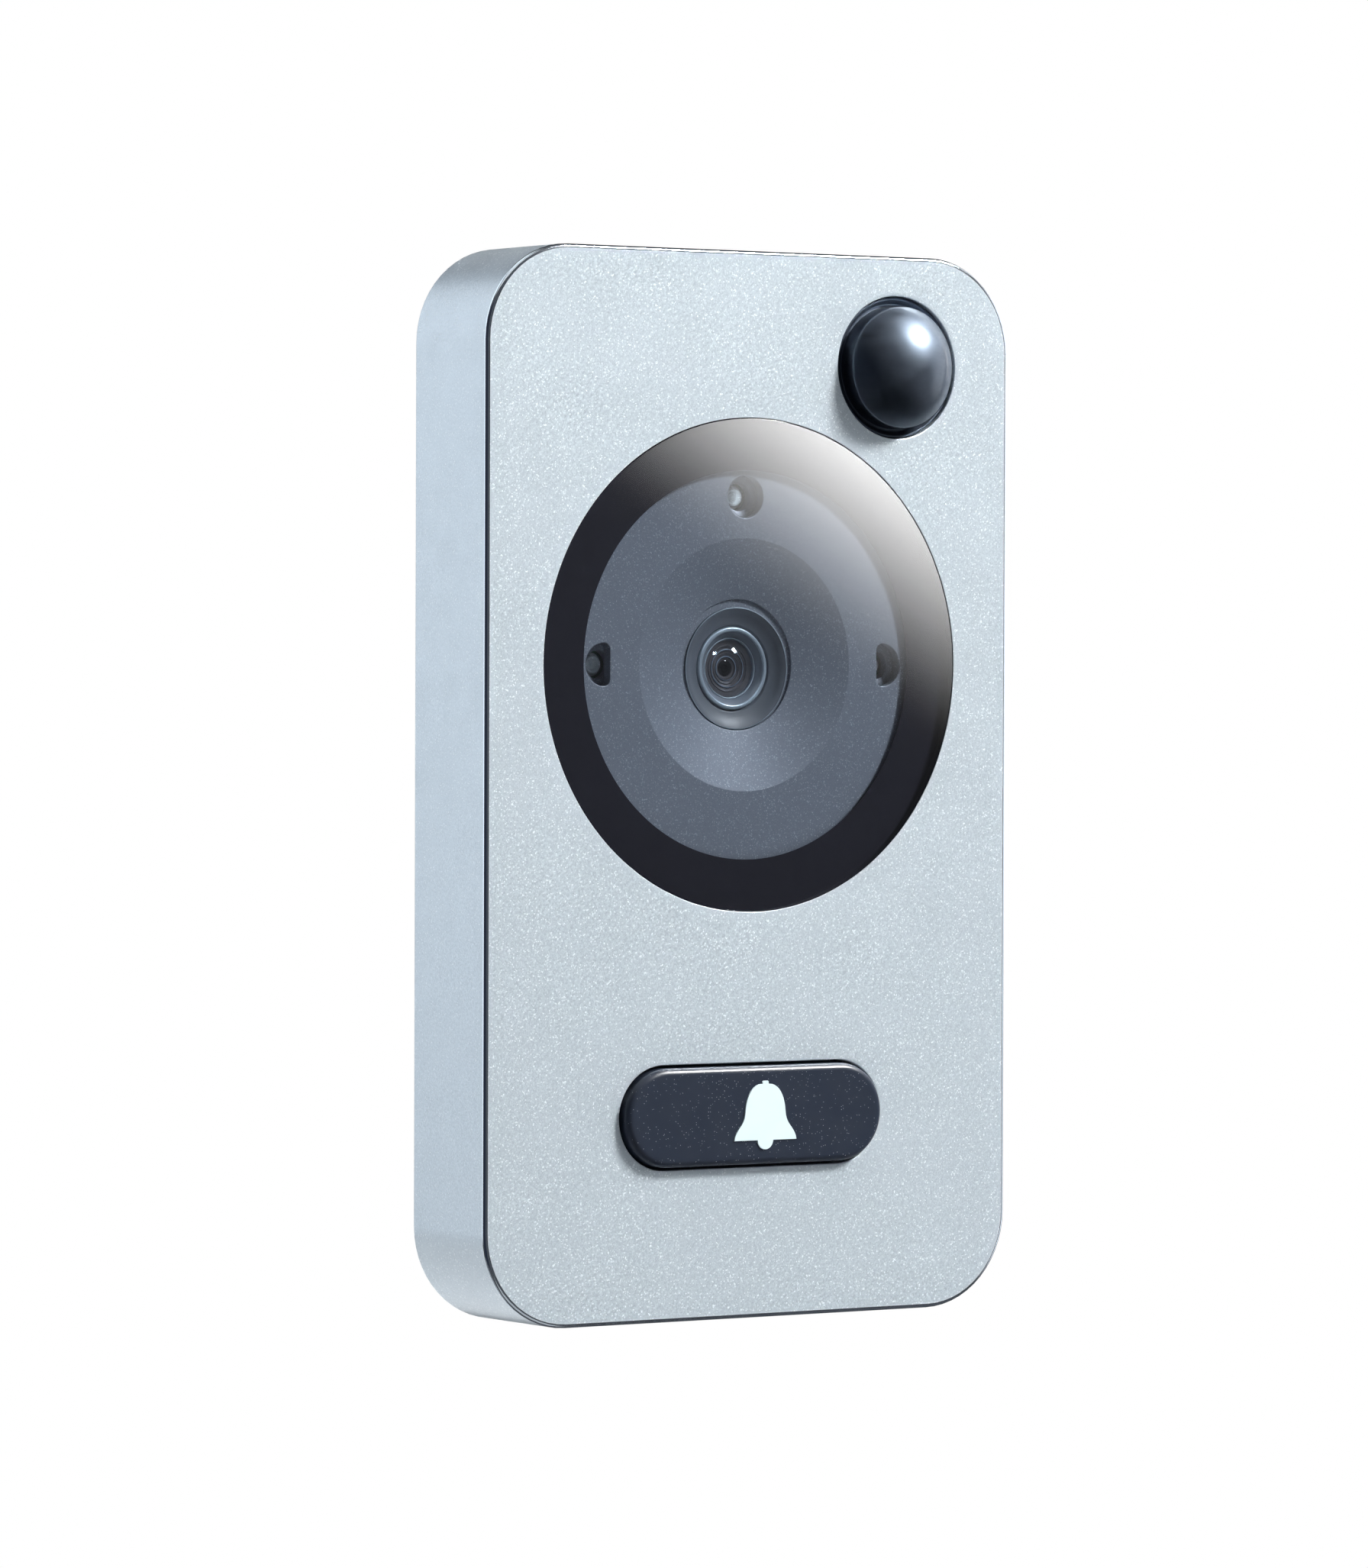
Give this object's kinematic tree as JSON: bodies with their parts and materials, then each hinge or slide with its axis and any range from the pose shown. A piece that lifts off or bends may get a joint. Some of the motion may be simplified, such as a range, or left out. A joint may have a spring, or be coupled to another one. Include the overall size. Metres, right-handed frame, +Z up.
{
  "type": "video doorbell",
  "caption": "Slim silver outdoor door-camera unit with a round window over a lens and infrared lamps, a black motion-sensor dome and a pill-shaped call button with a bell.",
  "frame": {"origin": "middle of the rear mounting face, on the foam pad's back where it lies on the door", "axes": "+Z up along the long side, +X to the right as the visitor sees it, +Y into the door, -Y towards the visitor"},
  "size_m": [0.0706, 0.0205, 0.12],
  "materials": {
    "silver_paint": "moulded plastic with metallic silver paint, bright flakes under a satin clear coat",
    "rear_plastic": "fine moulded grain",
    "seal_rubber": "soft matt rubber",
    "pad_foam": "closed-cell foam",
    "screw_steel": "plated steel",
    "insert_brass": "turned brass",
    "window_clear": "clear gloss window, lightly smoked",
    "black_print": "black ring behind the window",
    "bezel_grey": "satin grey paint with a fine sparkle",
    "lens_black": "semi-gloss black",
    "lens_metal": "black anodised ring",
    "lens_glass": "coated lens glass",
    "led_epoxy": "water-clear epoxy",
    "dome_black": "polished black dome",
    "can_metal": "plated can",
    "filter_dark": "dark infrared filter",
    "button_black": "satin black",
    "white_ink": "white pad print",
    "chip_black": "moulded black",
    "ivory_plastic": "natural nylon",
    "board_green": "green solder mask"
  },
  "bodies": {
    "housing": {"front_cover": "silver_paint", "rear_cover": "rear_plastic", "cover_seal": "seal_rubber", "mounting_pad": "pad_foam", "cable_grommet": "seal_rubber", "cover_screw_1": "screw_steel", "cover_screw_2": "screw_steel", "cover_screw_3": "screw_steel", "cover_screw_4": "screw_steel", "door_insert_1": "insert_brass", "door_insert_2": "insert_brass", "window_disc": "window_clear", "window_tape": "black_print", "camera_bezel": "bezel_grey", "lens_barrel": "lens_black", "lens_ring": "lens_metal", "front_lens": "lens_glass", "lens_holder": "chip_black", "image_sensor": "chip_black", "ir_led_left": "led_epoxy", "ir_led_right": "led_epoxy", "ir_led_top": "led_epoxy", "pir_dome": "dome_black", "pir_gasket": "seal_rubber", "pir_retainer": "rear_plastic", "pir_can": "can_metal", "pir_filter": "filter_dark", "button_spring_left": "screw_steel", "button_spring_right": "screw_steel", "switch_body": "chip_black", "main_board": "board_green", "board_screw_1": "screw_steel", "board_screw_2": "screw_steel", "board_screw_3": "screw_steel", "video_chip": "chip_black", "memory_chip": "chip_black", "power_coil": "chip_black", "power_capacitor": "can_metal", "cable_socket": "ivory_plastic", "socket_contacts": "insert_brass"},
    "button": {"button_cap": "button_black", "bell_icon": "white_ink"},
    "plunger": {"switch_plunger": "ivory_plastic"}
  },
  "joints": [
    {"name": "button_press", "type": "slide", "parent": "housing", "child": "button", "axis": [0, 1, 0], "range_m": [0, 0.0007], "stiffness_N_per_m": 2500, "springref_m": -0.0004, "deforming": ["button_spring_left", "button_spring_right"]},
    {"name": "plunger_press", "type": "slide", "parent": "housing", "child": "plunger", "axis": [0, 1, 0], "range_m": [0, 0.0007]}
  ],
  "couplings": [
    {"joint": "plunger_press", "follows": "button_press", "ratio": 1}
  ]
}
